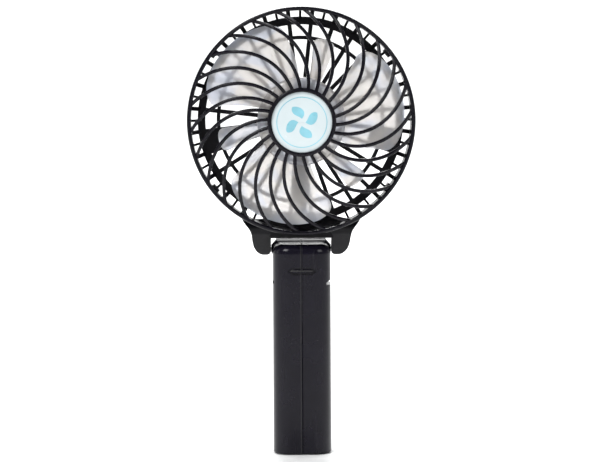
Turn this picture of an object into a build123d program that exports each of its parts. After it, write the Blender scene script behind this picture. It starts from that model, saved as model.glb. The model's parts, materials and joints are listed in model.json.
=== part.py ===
"""Handheld electric fan: a round caged head that folds on a slim battery handle."""
from build123d import *
import os
from math import atan, cos, radians, sin

# Frame, in millimetres: X to the right, Y to the back, Z up.
# The origin is the centre of the handle's flat base.

# ---- handle ----
HANDLE_W = 27.0
HANDLE_D = 24.0
HANDLE_H = 97.8
HANDLE_CORNER_R = 8.0
HANDLE_TOP_R = 4.2
HANDLE_BASE_R = 1.0
WALL = 1.8
FLOOR = 2.0
BACK = HANDLE_D / 2
INNER_BACK = BACK - WALL
SEAM_W = 0.4
SEAM_DEPTH = 0.35
SLOT_Z = 85.7
SLOT_GROOVE = (13.4, 3.4, 1.0)
SLOT_TONGUE = (11.8, 1.8, 0.75)
SLOT_TONGUE_R = 0.4
SLOT_POINT = 2.0
NOTCH_Z = (79.0, 81.6)
NOTCH_IN = 2.2
LEFT_NOTCH_Z = (79.6, 80.8)
LEFT_NOTCH_IN = 0.6
PAST = 1.0

# ---- hinge between the head and the handle ----
HINGE_Y = 9.3
HINGE_Z = 94.3
BARREL_R = 5.2
BARREL_HALF = 11.2
BARREL_TIP_X = 13.9
BARREL_TIP_R = 1.9
BARREL_CORE_R = 3.4
BARREL_CORE_HALF = 9.6
PIN_R = 1.5
PIN_PLAY = 0.05
PIN_END_X = 8.2
SLEEVE_BORE_R = 0.85
SLEEVE_OUT_X = 16.0
EAR_IN_X = 14.1
EAR_OUT_X = 22.7
EAR_END_R = 3.0
EAR_ROOT_Z = 112.0
EAR_ARM_ROOT = (0.6, 105.0, 4.2)
BRIDGE_Y = (-2.0, 5.2)
BRIDGE_Z = 100.2
CLIP_R = 2.6
CLIP_IN_R = 1.2
CLIP_X = (8.6, 9.0)
CLIP_PLAY = 0.05
CLIP_MOUTH = 0.9
CAP_X = 20.5
CAP_R = 2.3

# ---- head: radius from the fan axis, and w, the distance forwards along it ----
HEAD_Z = 155.0
RIM_R = 52.5
RIM_IN_R = 50.6
RIM_FRONT_W = 13.6
RIM_SPLIT_W = 6.0
RIM_BACK_W = 2.0
CAGE_FRONT_W = -2.4
CAGE_BACK_W = -4.4
BADGE_R = 13.75
BADGE_FRONT_W = 23.1
BADGE_CROWN_R = 135.0
BADGE_SEAT_W = 20.0
BADGE_PLAY = 0.1
HUB_R = 15.7
HUB_BACK_W = 18.0
HUB_FRONT_W = 23.4
HUB_EDGE_R = 0.7
RIM_EDGE_R = 0.85
DOME_PROFILE = ((13.8, 21.5), (25.0, 21.0), (35.0, 20.1), (42.5, 18.7), (45.5, 17.4), (48.4, 15.2),
                (51.4, 12.4))
RIB_RADII = (14.6, 20.0, 26.0, 32.0, 38.0, 44.0, 48.0, 51.3)
CLIP_ANGLES = (38, 142, 218, 322)
CLIP_HALF_W = 2.0
RIB_COUNT = 26
RIB_W = 1.6
RIB_DEPTH = 3.0
SPIRAL_START = 5.0
SPIRAL_SWEEP = 41.0
SPIRAL_POWER = 1.95
BAR_COUNT = 28
BAR_W = 1.9
THIN_BAR_W = 1.1
WIDE_RING = (44.2, 47.8)
THIN_RING = (37.3, 39.0)
CAGE_CORNER_R = 46.0
WALL_BACK_R = 47.9
WALL_FRONT_R = 52.2
WALL_FRONT_W = 3.0
PLATE_RING = (32.5, 45.5)
PLATE_ANGLES = (192.9, 347.1)
TROUGH_HALF = 3.0
TROUGH_W = (-5.0, -1.7)
TROUGH_GROOVE_HALF = 1.2
SOLID_WALL_ANGLES = (255.0, 285.0)
REAR_EDGE_R = 0.8

# ---- motor and impeller ----
CAN_R = 12.2
CAN_FRONT_W = 9.3
CAN_BACK_W = -3.0
CAN_WALL = 0.7
CUP_R = 14.6
CUP_FLANGE_W = 10.8
CUP_MOUTH_R = 3.6
FIT_PLAY = 0.05
MOTOR_SCREW_X = 8.0
MOTOR_SCREW_R = 0.8
MOTOR_COVER_R = 15.9
MOTOR_COVER_BACK_W = -5.4
BUSH_R = 3.0
MAGNET_IN_R = 9.6
ROTOR_W = (0.4, 5.9)
POLE_HALF = 1.1
POLE_ANGLES = (90, 210, 330)
COMMUTATOR_R = 2.2
BRUSH_HALF = 0.9
TAG_X = (6.7, 8.1)
SHAFT_R = 1.0
SHAFT_PLAY = 0.03
FAN_HUB_R = 20.2
FAN_HUB_FRONT_W = 16.6
FAN_HUB_BACK_W = 2.0
FAN_HUB_WALL = 1.4
BLADE_T = 1.1
BLADE_TURNS = (0, 120, 240)
BROAD_BLADE = {"root_mid": 6.5, "root_half": 34.9, "skew": 8.0, "shoulder_r": 38.7, "tip_r": 48.0,
               "back_w": 3.4, "front_w": 14.2}
SHORT_BLADE = {"root_mid": 71.0, "root_half": 8.0, "skew": 2.0, "shoulder_r": 35.5, "tip_r": 38.9,
               "back_w": 6.4, "front_w": 12.4}
TIP_ROUNDING = 2.6
BLADE_OVERHANG = 1.35
BLADE_CAMBER = 0.9
BLADE_UNTWIST = 0.14

# ---- power parts in the handle ----
CELL_R = 9.2
CELL_LEN = 65.0
CELL_BASE_Z = 5.6
CELL_TOP_Z = CELL_BASE_Z + CELL_LEN
DOOR_HALF = 9.0
DOOR_Y = 8.8
DOOR_BASE_Z = 0.25
DOOR_TOP_Z = 71.8
RAIL_HALF = 10.0
RAIL_Y = (9.1, 9.9)
RAIL_TOP_Z = 69.0
DOOR_GAP = 0.12
BOARD_HALF = 8.8
BOARD_Y = (5.9, 6.9)
BOARD_Z = (73.4, 90.4)
PORT_Z = 75.6
BUTTON_Z = 82.3
LAMP_Z = 88.7
BUTTON_R = 3.6
SCREW_PLACES = ((-2.0, 75.6), (-2.0, 91.2))
SCREW_HEAD_X = 11.9
CABLE_R = 0.7
HEAD_CABLE_RADII = [3.4, 3.2, 3.2]
LEAD_R = 0.45
CRADLE_Z = (18.0, 38.0, 58.0)
SHELF_Z = (71.6, 72.8)
RIB_T = 1.2
BOSS_R = 2.1
PILOT_R = 0.95
SCREW_HEAD_R = 1.8
SCREW_HEAD_T = 1.0
PLATE_T = 0.35
PLATE_LIFT = 0.4
SPRING_WIRE_R = 0.3
PORT_MOUTH = (8.1, 3.2)
PORT_SHELL = (7.5, 2.6)
PORT_WALL = 0.35
GRIP_COUNT = 5
GRIP_Z = 60.0
GRIP_PITCH = 2.0
GRIP_HALF = 4.5
SWITCH_HALF = 3.0
SWITCH_T = 2.1

HEAD = Plane(origin=(0, 0, HEAD_Z), x_dir=(1, 0, 0), z_dir=(0, -1, 0))
SIDES = (-1, 1)


# ---- drawing helpers ----
def on_head(shape):
    """Place a shape drawn about the fan axis, with z forwards, on the head."""
    return HEAD.location * shape


def turned(points):
    """A body turned about z from its closed half section of (radius, height) points."""
    outline = Polyline(*[(r, 0, w) for r, w in points], close=True)
    return revolve(make_face(outline), Axis.Z)


def tube(outer, inner, low, high):
    """A straight ring about z."""
    return turned([(inner, low), (outer, low), (outer, high), (inner, high)])


def rod(radius, low, high, x=0.0, y=0.0):
    """A round rod along z."""
    return Pos(x, y, (low + high) / 2) * Cylinder(radius, high - low)


def block(low, high):
    """A box from its lowest to its highest corner."""
    size = [b - a for a, b in zip(low, high)]
    middle = [(a + b) / 2 for a, b in zip(low, high)]
    return Pos(*middle) * Box(*size)


def cross_rod(radius, x_low, x_high, y, z):
    """A round rod along X."""
    return Pos((x_low + x_high) / 2, y, z) * Rot(0, 90, 0) * Cylinder(radius, x_high - x_low)


def back_rod(radius, y_low, y_high, x, z):
    """A round rod along Y."""
    return Pos(x, (y_low + y_high) / 2, z) * Rot(90, 0, 0) * Cylinder(radius, y_high - y_low)


def turned_copies(shape, angles):
    """Copies of a shape about z."""
    return [Rot(0, 0, angle) * shape for angle in angles]


def mirrored_pair(shape):
    """A shape and its mirror image across the plane X = 0."""
    return shape + mirror(shape, Plane.YZ)


def round_cable(points, radii, radius):
    """A round cable along straight runs joined by arcs."""
    path = FilletPolyline(*points, radius=radii)
    start = Plane(origin=path @ 0, z_dir=path % 0)
    return sweep(start * Circle(radius), path=path)


# ---- front grille ----
def spiral_angle(radius):
    return SPIRAL_START + SPIRAL_SWEEP * (radius / RIM_IN_R) ** SPIRAL_POWER


def rib_flank_point(radius, side):
    """A point on one flank of the spiral rib, square to its centre line."""
    angle = radians(spiral_angle(radius))
    growth = SPIRAL_SWEEP * SPIRAL_POWER * (radius / RIM_IN_R) ** SPIRAL_POWER
    heading = angle + atan(radians(growth))
    offset = side * RIB_W / 2
    x = radius * cos(angle) - offset * sin(heading)
    y = radius * sin(angle) + offset * cos(heading)
    return (x, y)


def dome_shell():
    """The shallow dome that the ribs lie in, as a solid of the ribs' depth."""
    upper = Spline(*[(r, 0, w) for r, w in DOME_PROFILE])
    lower = Spline(*[(r, 0, w - RIB_DEPTH) for r, w in reversed(DOME_PROFILE)])
    outline = [upper, Line(upper @ 1, lower @ 0), lower, Line(lower @ 1, upper @ 0)]
    return revolve(make_face(outline), Axis.Z)


def spiral_rib():
    """One rib: its curved plan cut out of the dome."""
    one = Spline(*[rib_flank_point(r, 1) for r in RIB_RADII])
    other = Spline(*[rib_flank_point(r, -1) for r in reversed(RIB_RADII)])
    plan = make_face([one, Line(one @ 1, other @ 0), other, Line(other @ 1, one @ 0)])
    return extrude(plan, amount=RIM_FRONT_W * 2) & dome_shell()


def grille_clip():
    """Snap clip that hangs from the rim and grips inside the rear ring."""
    leg = block((RIM_IN_R - 1.3, -CLIP_HALF_W, RIM_BACK_W + 0.2), (RIM_IN_R - 0.1, CLIP_HALF_W, 9.0))
    root = block((RIM_IN_R - 0.6, -CLIP_HALF_W, RIM_SPLIT_W + 0.1), (RIM_IN_R + 0.15, CLIP_HALF_W, 9.0))
    return leg + root


def front_grille():
    """Rim, spiral ribs, hub seat for the badge and the clips that hold the grille on."""
    rim = tube(RIM_R, RIM_IN_R, RIM_SPLIT_W, RIM_FRONT_W)
    rim = fillet(rim.edges().group_by(Axis.Z)[-1], RIM_EDGE_R)
    seat_r = BADGE_R + BADGE_PLAY
    hub = turned([(0, HUB_BACK_W), (HUB_R, HUB_BACK_W), (HUB_R, HUB_FRONT_W), (seat_r, HUB_FRONT_W),
                  (seat_r, BADGE_SEAT_W), (0, BADGE_SEAT_W)])
    hub = fillet(hub.edges().group_by(Axis.Z)[-1], HUB_EDGE_R)
    pitch = 360 / RIB_COUNT
    ribs = turned_copies(spiral_rib(), [pitch * i for i in range(RIB_COUNT)])
    clips = turned_copies(grille_clip(), CLIP_ANGLES)
    return on_head(rim + ribs + hub + clips)


def badge():
    """Plain disc with a crowned face, set into the grille's hub."""
    crown = Pos(0, 0, BADGE_FRONT_W - BADGE_CROWN_R) * Sphere(BADGE_CROWN_R)
    return on_head(rod(BADGE_R, BADGE_SEAT_W + FIT_PLAY, BADGE_FRONT_W + PAST) & crown)


# ---- rear housing ----
def radial_bar():
    """One spoke of the rear cage, along +x."""
    return block((CUP_R - 0.5, -BAR_W / 2, CAGE_BACK_W), (CAGE_CORNER_R, BAR_W / 2, CAGE_FRONT_W))


def side_wall():
    """The slanted band between the rear cage and the rim, as one turned solid."""
    inner_r = RIM_IN_R + 0.1
    return turned([(inner_r, WALL_FRONT_W), (WALL_FRONT_R, WALL_FRONT_W), (WALL_FRONT_R, RIM_BACK_W - 0.2),
                   (WALL_BACK_R, CAGE_BACK_W), (CAGE_CORNER_R, CAGE_BACK_W), (CAGE_CORNER_R, CAGE_FRONT_W),
                   (CAGE_CORNER_R + 0.6, CAGE_FRONT_W), (inner_r, 1.4)])


def side_bars():
    """Slanted bars from the rear cage to the rim, every second one thinner."""
    wall = side_wall()
    pitch = 360 / BAR_COUNT
    bars = []
    for width, first in ((BAR_W, pitch / 2), (THIN_BAR_W, 0)):
        plate = block((CAGE_CORNER_R - PAST, -width / 2, CAGE_BACK_W - PAST),
                      (RIM_R, width / 2, WALL_FRONT_W + PAST))
        bars += turned_copies(wall & plate, [first + pitch * i for i in range(BAR_COUNT)])
    return bars


def sector_plate(inner, outer, low_angle, high_angle, low, high):
    """A flat plate that fills part of a ring between two angles."""
    ring = tube(outer, inner, low, high)
    middle = (low_angle + high_angle) / 2
    half = (high_angle - low_angle) / 2
    reach = 2 * outer
    wedge = make_face(Polyline((0, 0), (reach * cos(radians(half)), -reach * sin(radians(half))),
                               (reach * cos(radians(half)), reach * sin(radians(half))), close=True))
    cutter = Rot(0, 0, middle) * extrude(wedge, amount=high - low + 2)
    return ring & (Pos(0, 0, low - 1) * cutter)


def motor_cup():
    """Cup that holds the motor: open at the back, flanged at the front."""
    bore_r = CAN_R + FIT_PLAY
    floor_w = CAN_FRONT_W + 0.1
    return turned([(CUP_MOUTH_R, floor_w), (CUP_MOUTH_R, CUP_FLANGE_W), (CUP_R, CUP_FLANGE_W),
                   (CUP_R, CAGE_BACK_W), (bore_r, CAGE_BACK_W), (bore_r, floor_w)])


def ear_solid():
    """One hinge ear on the +X side, in the object's frame."""
    root_x = 28.6
    contour = make_face([
        Polyline((EAR_IN_X, 93.4), (EAR_IN_X, EAR_ROOT_Z), (root_x, EAR_ROOT_Z)),
        Spline((root_x, EAR_ROOT_Z), (26.2, 107.0), (23.7, 103.4), (22.8, 98.4), (21.7, 94.6), (19.8, 92.3),
               (17.0, 91.3), (15.0, 91.8), (EAR_IN_X, 93.4)),
    ])
    front_view = extrude(Plane.XZ * contour, amount=HANDLE_D, both=True)
    root_y, root_z, root_r = EAR_ARM_ROOT
    arm = Sketch() + [Pos(HINGE_Y, HINGE_Z) * Circle(EAR_END_R), Pos(root_y, root_z) * Circle(root_r)]
    side_view = extrude(Plane.YZ * make_hull(arm.edges()), amount=RIM_R, both=True)
    return front_view & side_view


def head_cable_points():
    """Cable route: down behind the wire cover, across the bridge, down the ear and into the pivot."""
    ear_x = 19.2
    depth = 3.6
    return [(0, depth, 141.0), (0, depth, 104.6), (ear_x, depth, 104.0), (ear_x, HINGE_Y, HINGE_Z),
            (12.5, HINGE_Y, HINGE_Z)]


def cable_tunnel():
    """Clear passage for the cable through the bridge and the ear."""
    route = head_cable_points()
    points = [(0, route[0][1], EAR_ROOT_Z)] + route[1:]
    return round_cable(points, HEAD_CABLE_RADII, CABLE_R + 0.3)


def rear_cage():
    """Rim, spokes, rings, filled cells, wire trough and motor cup, about the fan axis."""
    ring = tube(RIM_R, RIM_IN_R, RIM_BACK_W, RIM_SPLIT_W)
    ring = fillet(ring.edges().group_by(Axis.Z)[0].sort_by(SortBy.RADIUS)[-1:], REAR_EDGE_R)
    pitch = 360 / BAR_COUNT
    spokes = turned_copies(radial_bar(), [pitch / 2 + pitch * i for i in range(BAR_COUNT)])
    rings = [tube(outer, inner, CAGE_BACK_W, CAGE_FRONT_W) for inner, outer in (WIDE_RING, THIN_RING)]
    plates = [sector_plate(*PLATE_RING, a - pitch / 2, a + pitch / 2, CAGE_BACK_W, CAGE_FRONT_W)
              for a in PLATE_ANGLES]
    trough = block((-TROUGH_HALF, -49.0, TROUGH_W[0]), (TROUGH_HALF, 0.5 - CUP_R, TROUGH_W[1]))
    solid_wall = side_wall() & sector_plate(44.0, RIM_R + PAST, *SOLID_WALL_ANGLES, CAGE_BACK_W - PAST,
                                            WALL_FRONT_W + PAST)
    return ring + spokes + side_bars() + rings + plates + [trough, solid_wall, motor_cup()]


def rear_housing():
    """Rear cage with its bridge and the two hinge ears."""
    bridge = block((-EAR_IN_X - 0.5, BRIDGE_Y[0], BRIDGE_Z), (EAR_IN_X + 0.5, BRIDGE_Y[1], EAR_ROOT_Z))
    fan_room = turned([(0, 30), (RIM_R + 2, 30), (RIM_R + 2, RIM_SPLIT_W), (RIM_IN_R, RIM_SPLIT_W),
                       (RIM_IN_R, 1.4), (CAGE_CORNER_R + 0.6, CAGE_FRONT_W), (0, CAGE_FRONT_W)])
    above = tube(43.0, 0.01, -20, 20)
    hinge_parts = (mirrored_pair(ear_solid()) + bridge) - on_head(fan_room) - on_head(above)
    body = on_head(rear_cage()) + hinge_parts
    half = TROUGH_GROOVE_HALF
    groove = block((-half, 2.7, 103.0), (half, 6.0, HEAD_Z - 12.0))
    body -= groove + cable_tunnel()
    screw_holes = [rod(1.1, 9.0, 12.0, side * MOTOR_SCREW_X) for side in SIDES]
    body -= on_head(Part() + screw_holes)
    return body - mirrored_pair(ear_cuts())


def ear_cuts():
    """Pivot bore and cap recess in the +X ear."""
    bore = cross_rod(PIN_R, EAR_IN_X - 1, SLEEVE_OUT_X, HINGE_Y, HINGE_Z)
    recess = cross_rod(CAP_R, CAP_X, EAR_OUT_X + 3, HINGE_Y, HINGE_Z)
    return bore + recess


def wire_cover():
    """Strip that closes the wire trough from behind."""
    half = TROUGH_GROOVE_HALF - FIT_PLAY
    return block((-half, 4.45, 107.5), (half, -TROUGH_W[0], HEAD_Z - 15.0))


def motor_cover():
    """Shallow cap over the back of the motor, with moulded rings and a wire mouth."""
    back = MOTOR_COVER_BACK_W
    lip_r = CUP_R + FIT_PLAY
    cap = turned([(0, back), (14.0, back), (MOTOR_COVER_R, -4.6), (MOTOR_COVER_R, -3.6), (lip_r, -3.6),
                  (lip_r, -4.5), (11.6, -4.5), (11.6, -4.7), (0, -4.7)])
    rings = [tube(outer, outer - 0.6, back - 0.2, back + 0.1) for outer in (12.6, 6.2)]
    mouth = block((-TROUGH_HALF - 0.1, -17, -6), (TROUGH_HALF + 0.1, -13.0, -3.0))
    bar_room = block((CUP_R, -BAR_W, -4.5), (18, BAR_W, -1))
    spaces = turned_copies(bar_room, [360 / BAR_COUNT * (i + 0.5) for i in range(BAR_COUNT)])
    return on_head(cap + rings - mouth - spaces)


# ---- motor ----
def motor_can():
    front = CAN_FRONT_W
    inner_r = CAN_R - CAN_WALL
    shell = turned([(BUSH_R, front), (CAN_R, front), (CAN_R, CAN_BACK_W), (inner_r, CAN_BACK_W),
                    (inner_r, front - CAN_WALL), (BUSH_R, front - CAN_WALL)])
    holes = [rod(MOTOR_SCREW_R, front - 2, front + 1, side * MOTOR_SCREW_X) for side in SIDES]
    return on_head(shell - holes)


def motor_bush(low, high):
    return on_head(tube(BUSH_R, SHAFT_R + SHAFT_PLAY, low, high))


def motor_magnets():
    """Two arc magnets inside the can."""
    ring = tube(CAN_R - CAN_WALL, MAGNET_IN_R, -0.5, 7.5)
    return on_head(ring - block((-3, -20, -9), (3, 20, 20)))


def motor_end_cap():
    """Plastic end plate that carries the rear bush and the brushes."""
    plate = tube(CAN_R - CAN_WALL, BUSH_R, CAN_BACK_W, CAN_BACK_W + 1.0)
    middle = (TAG_X[0] + TAG_X[1]) / 2
    slots = [block((side * middle - 0.9, -1.2, -4), (side * middle + 0.9, 1.2, 0)) for side in SIDES]
    return on_head(plate - slots)


def motor_brushes():
    """Two leaf brushes that press on the commutator."""
    leaf = block((COMMUTATOR_R + FIT_PLAY, -BRUSH_HALF, -1.9), (8.2, BRUSH_HALF, -1.6))
    foot = block((6.6, -1.1, -2.4), (8.2, 1.1, -1.6))
    return on_head(mirrored_pair(leaf + foot))


def motor_terminals():
    """Two solder tags behind the motor."""
    tag = block((TAG_X[0], -1.0, -4.1), (TAG_X[1], 1.0, -2.45))
    return on_head(mirrored_pair(tag))


def motor_screws():
    """Two screws that hold the motor to the cup's flange."""
    x = MOTOR_SCREW_X
    top = CUP_FLANGE_W + 1.1
    head = rod(1.7, CUP_FLANGE_W, top, x)
    shank = rod(MOTOR_SCREW_R, 8.2, CUP_FLANGE_W, x)
    cross = block((x - 0.9, -0.2, top - 0.5), (x + 0.9, 0.2, top + 0.3))
    cross += block((x - 0.2, -0.9, top - 0.5), (x + 0.2, 0.9, top + 0.3))
    return on_head(mirrored_pair(head + shank - cross))


def motor_shaft():
    return on_head(rod(SHAFT_R, -4.3, 15.0))


def rotor_core():
    """Three-pole iron core pressed on the shaft."""
    low, high = ROTOR_W
    hub = tube(3.0, SHAFT_R, low, high)
    arm = block((2.5, -POLE_HALF, low), (8.2, POLE_HALF, high))
    shoe = sector_plate(7.6, 9.1, -50, 50, low, high)
    return on_head(hub + turned_copies(arm + shoe, POLE_ANGLES))


def rotor_windings():
    """Copper coil round each pole."""
    low, high = ROTOR_W
    outside = block((3.6, -2.4, low - 0.9), (7.2, 2.4, high + 0.9))
    coil = fillet(outside.edges().filter_by(Axis.X), 0.9) - block((3, -POLE_HALF, low), (8, POLE_HALF, high))
    return on_head(Part() + turned_copies(coil, POLE_ANGLES))


def commutator():
    """Segmented copper drum on the shaft."""
    drum = tube(COMMUTATOR_R, SHAFT_R, -1.95, -0.7)
    slits = turned_copies(block((1.5, -0.12, -3), (4, 0.12, 0)), [angle - 60 for angle in POLE_ANGLES])
    return on_head(drum - slits)


# ---- impeller ----
def polar_point(radius, angle):
    return (radius * cos(radians(angle)), radius * sin(radians(angle)))


def blade_outline(root_mid, root_half, skew, shoulder_r, tip_r):
    """Plan of a blade: two swept edges joined by a rounded tip."""
    tip = []
    for i in range(11):
        across = cos(radians(180 * i / 10))
        bulge = (1 - abs(across) ** TIP_ROUNDING) ** (1 / TIP_ROUNDING)
        radius = shoulder_r + (tip_r - shoulder_r) * bulge
        tip.append(polar_point(radius, root_mid + skew + root_half * across))
    root_r = FAN_HUB_R - 1.0
    steps = [k / 4 for k in range(5)]
    edges = []
    for side in SIDES:
        edge = [polar_point(root_r + (shoulder_r - root_r) * t, root_mid + skew * t ** 1.2 + side * root_half)
                for t in steps]
        edges.append(edge)
    low, high = edges
    return make_face([Spline(*high), Spline(*tip), Spline(*reversed(low)), Line(low[0], high[0])])


def blade_sheet(root_mid, root_half, skew, tip_r, back_w, front_w):
    """Twisted, cambered sheet that a blade is cut from."""
    first_r = FAN_HUB_R - 2.5
    last_r = tip_r + 2.0
    middle_w = (back_w + front_w) / 2
    rows = []
    for i in range(7):
        across = BLADE_OVERHANG * (i / 3 - 1)
        row = []
        for along in (0, 0.25, 0.5, 0.75, 1):
            radius = first_r + (last_r - first_r) * along
            x, y = polar_point(radius, root_mid + skew * along + root_half * across)
            lift = (front_w - middle_w) * across * (1 - BLADE_UNTWIST * along)
            row.append((x, y, middle_w + lift - BLADE_CAMBER * (1 - across * across)))
        rows.append(row)
    surface = Face.make_surface_from_array_of_points(rows, tol=0.05, min_deg=3, max_deg=3)
    return thicken(surface, amount=BLADE_T / 2, both=True)


def blade(root_mid, root_half, skew, shoulder_r, tip_r, back_w, front_w):
    """One blade: its plan cut out of the twisted sheet. Angles in degrees."""
    column = extrude(blade_outline(root_mid, root_half, skew, shoulder_r, tip_r), amount=HUB_FRONT_W)
    return column & blade_sheet(root_mid, root_half, skew, tip_r, back_w, front_w)


def impeller():
    """Cup hub with three broad blades and three short ones between them."""
    inner = FAN_HUB_R - FAN_HUB_WALL
    face_w = FAN_HUB_FRONT_W - FAN_HUB_WALL
    boss_r = 2.6
    boss_w = 12.6
    hub = turned([(SHAFT_R, FAN_HUB_FRONT_W), (FAN_HUB_R, FAN_HUB_FRONT_W), (FAN_HUB_R, FAN_HUB_BACK_W),
                  (inner, FAN_HUB_BACK_W), (inner, face_w), (boss_r, face_w), (boss_r, boss_w),
                  (SHAFT_R, boss_w)])
    hub = fillet(hub.edges().group_by(Axis.Z)[-1].sort_by(SortBy.RADIUS)[-1:], 1.8)
    hub += rod(SHAFT_R + 0.5, 15.0, FAN_HUB_FRONT_W)
    broad = turned_copies(blade(**BROAD_BLADE), BLADE_TURNS)
    short = turned_copies(blade(**SHORT_BLADE), BLADE_TURNS)
    return on_head(hub + broad + short)


# ---- hinge parts ----
def hinge_pin():
    """Solid pivot on the left, pressed into the ear and grooved for its clip."""
    pin = cross_rod(PIN_R, -SLEEVE_OUT_X, -PIN_END_X, HINGE_Y, HINGE_Z)
    return pin - clip_groove(-1)


def hinge_sleeve():
    """Hollow pivot on the right, which the cable passes through."""
    sleeve = cross_rod(PIN_R, PIN_END_X, SLEEVE_OUT_X, HINGE_Y, HINGE_Z)
    bore = cross_rod(SLEEVE_BORE_R, 0, SLEEVE_OUT_X + 1, HINGE_Y, HINGE_Z)
    return sleeve - bore - clip_groove(1)


def clip_groove(side):
    low, high = CLIP_X
    outer = cross_rod(PIN_R + 1, low - CLIP_PLAY, high + CLIP_PLAY, HINGE_Y, HINGE_Z)
    ring = outer - cross_rod(CLIP_IN_R, low - 1, high + 1, HINGE_Y, HINGE_Z)
    return ring if side > 0 else mirror(ring, Plane.YZ)


def hinge_clips():
    """Open spring clips in the grooves of both pivots."""
    low, high = CLIP_X
    hole = cross_rod(CLIP_IN_R, low - 1, high + 1, HINGE_Y, HINGE_Z)
    ring = cross_rod(CLIP_R, low, high, HINGE_Y, HINGE_Z) - hole
    mouth = block((low - 1, HINGE_Y - CLIP_MOUTH, HINGE_Z - 4), (high + 1, HINGE_Y + CLIP_MOUTH, HINGE_Z))
    return mirrored_pair(ring - mouth)


def hinge_caps():
    """Round blanking caps, flush with the outer faces of the ears."""
    cap = cross_rod(CAP_R - 0.02, CAP_X, EAR_OUT_X, HINGE_Y, HINGE_Z) & ear_solid()
    return mirrored_pair(cap)


def head_cable():
    return round_cable(head_cable_points(), HEAD_CABLE_RADII, CABLE_R)


def motor_leads():
    """Two short leads from the cable's end to the solder tags."""
    leads = []
    for side in SIDES:
        points = [(side * 0.6, 3.6, 141.2), (side * 0.7, 3.6, 145.0), (side * 7.4, 3.9, 153.5)]
        leads.append(round_cable(points, [6.0], 0.32))
    return Part() + leads


def handle_cable():
    """Cable from the pivot down to the circuit board."""
    points = [(12.5, HINGE_Y, HINGE_Z), (4.6, HINGE_Y, HINGE_Z), (4.6, 7.7, 87.9)]
    return round_cable(points, [3.0], CABLE_R)


# ---- handle shells ----
def handle_outside():
    """Whole outer form of the handle, with the hinge barrel across its top."""
    plan = RectangleRounded(HANDLE_W, HANDLE_D, HANDLE_CORNER_R)
    body = extrude(plan, amount=HANDLE_H)
    body = fillet(body.edges().group_by(Axis.Z)[-1], HANDLE_TOP_R)
    body = fillet(body.edges().group_by(Axis.Z)[0], HANDLE_BASE_R)
    return body + barrel()


def barrel():
    """Round cross bar with tapered ends that meet the ears."""
    profile = [(0, 0), (BARREL_R, 0), (BARREL_R, BARREL_HALF), (BARREL_TIP_R, BARREL_TIP_X),
               (0, BARREL_TIP_X)]
    half = turned(profile)
    right = Pos(0, HINGE_Y, HINGE_Z) * Rot(0, 90, 0) * half
    return mirrored_pair(right)


def handle_inside():
    """Space inside the handle, leaving the floor and solid ends in the barrel."""
    plan = RectangleRounded(HANDLE_W - 2 * WALL, HANDLE_D - 2 * WALL, HANDLE_CORNER_R - WALL)
    body = Pos(0, 0, FLOOR) * extrude(plan, amount=HANDLE_H - WALL - FLOOR)
    ends = mirrored_pair(cross_rod(BARREL_CORE_R, BARREL_CORE_HALF, 14, HINGE_Y, HINGE_Z))
    core = cross_rod(BARREL_CORE_R, -BARREL_CORE_HALF, BARREL_CORE_HALF, HINGE_Y, HINGE_Z)
    return body - ends + core


def slot_outline(length, height):
    """Flat slot with pointed ends, centred on the origin."""
    half = length / 2
    shoulder = half - SLOT_POINT
    return make_face(Polyline((-half, 0), (-shoulder, height / 2), (shoulder, height / 2), (half, 0),
                              (shoulder, -height / 2), (-shoulder, -height / 2), close=True))


def front_slot():
    """Slot cut in the front face round a raised tongue with a rounded front."""
    length, height, depth = SLOT_GROOVE
    groove = extrude(slot_outline(length, height), amount=depth)
    tongue_length, tongue_height, tongue_rise = SLOT_TONGUE
    tongue = extrude(slot_outline(tongue_length, tongue_height), amount=tongue_rise)
    tongue = fillet(tongue.edges().group_by(Axis.Z)[-1], SLOT_TONGUE_R)
    return Pos(0, -BACK + depth, SLOT_Z) * Rot(90, 0, 0) * (groove - tongue)


def side_notches():
    """Notch right through the right edge and a shallow one at the front of the left edge."""
    half = HANDLE_W / 2
    low, high = NOTCH_Z
    profile = Polyline((half - NOTCH_IN, low), (half + PAST, low), (half + PAST, high),
                       (half - 1.4, high - 1.0), (half - NOTCH_IN, low + 0.9), close=True)
    right = extrude(Plane.XZ * make_face(profile), amount=BACK + PAST, both=True)
    left = block((-half - PAST, -BACK - PAST, LEFT_NOTCH_Z[0]),
                 (-half + LEFT_NOTCH_IN, -2.0, LEFT_NOTCH_Z[1]))
    return right + left


def door_space(gap, base_z):
    """The battery door's space in the back wall, with a rail along each side."""
    panel = block((-DOOR_HALF - gap, DOOR_Y - gap, base_z), (DOOR_HALF + gap, BACK + 1, DOOR_TOP_Z + gap))
    rail = block((DOOR_HALF - 0.5, RAIL_Y[0] - gap, base_z),
                 (RAIL_HALF + gap, RAIL_Y[1] + gap, RAIL_TOP_Z + gap))
    return panel, mirrored_pair(rail)


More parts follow.
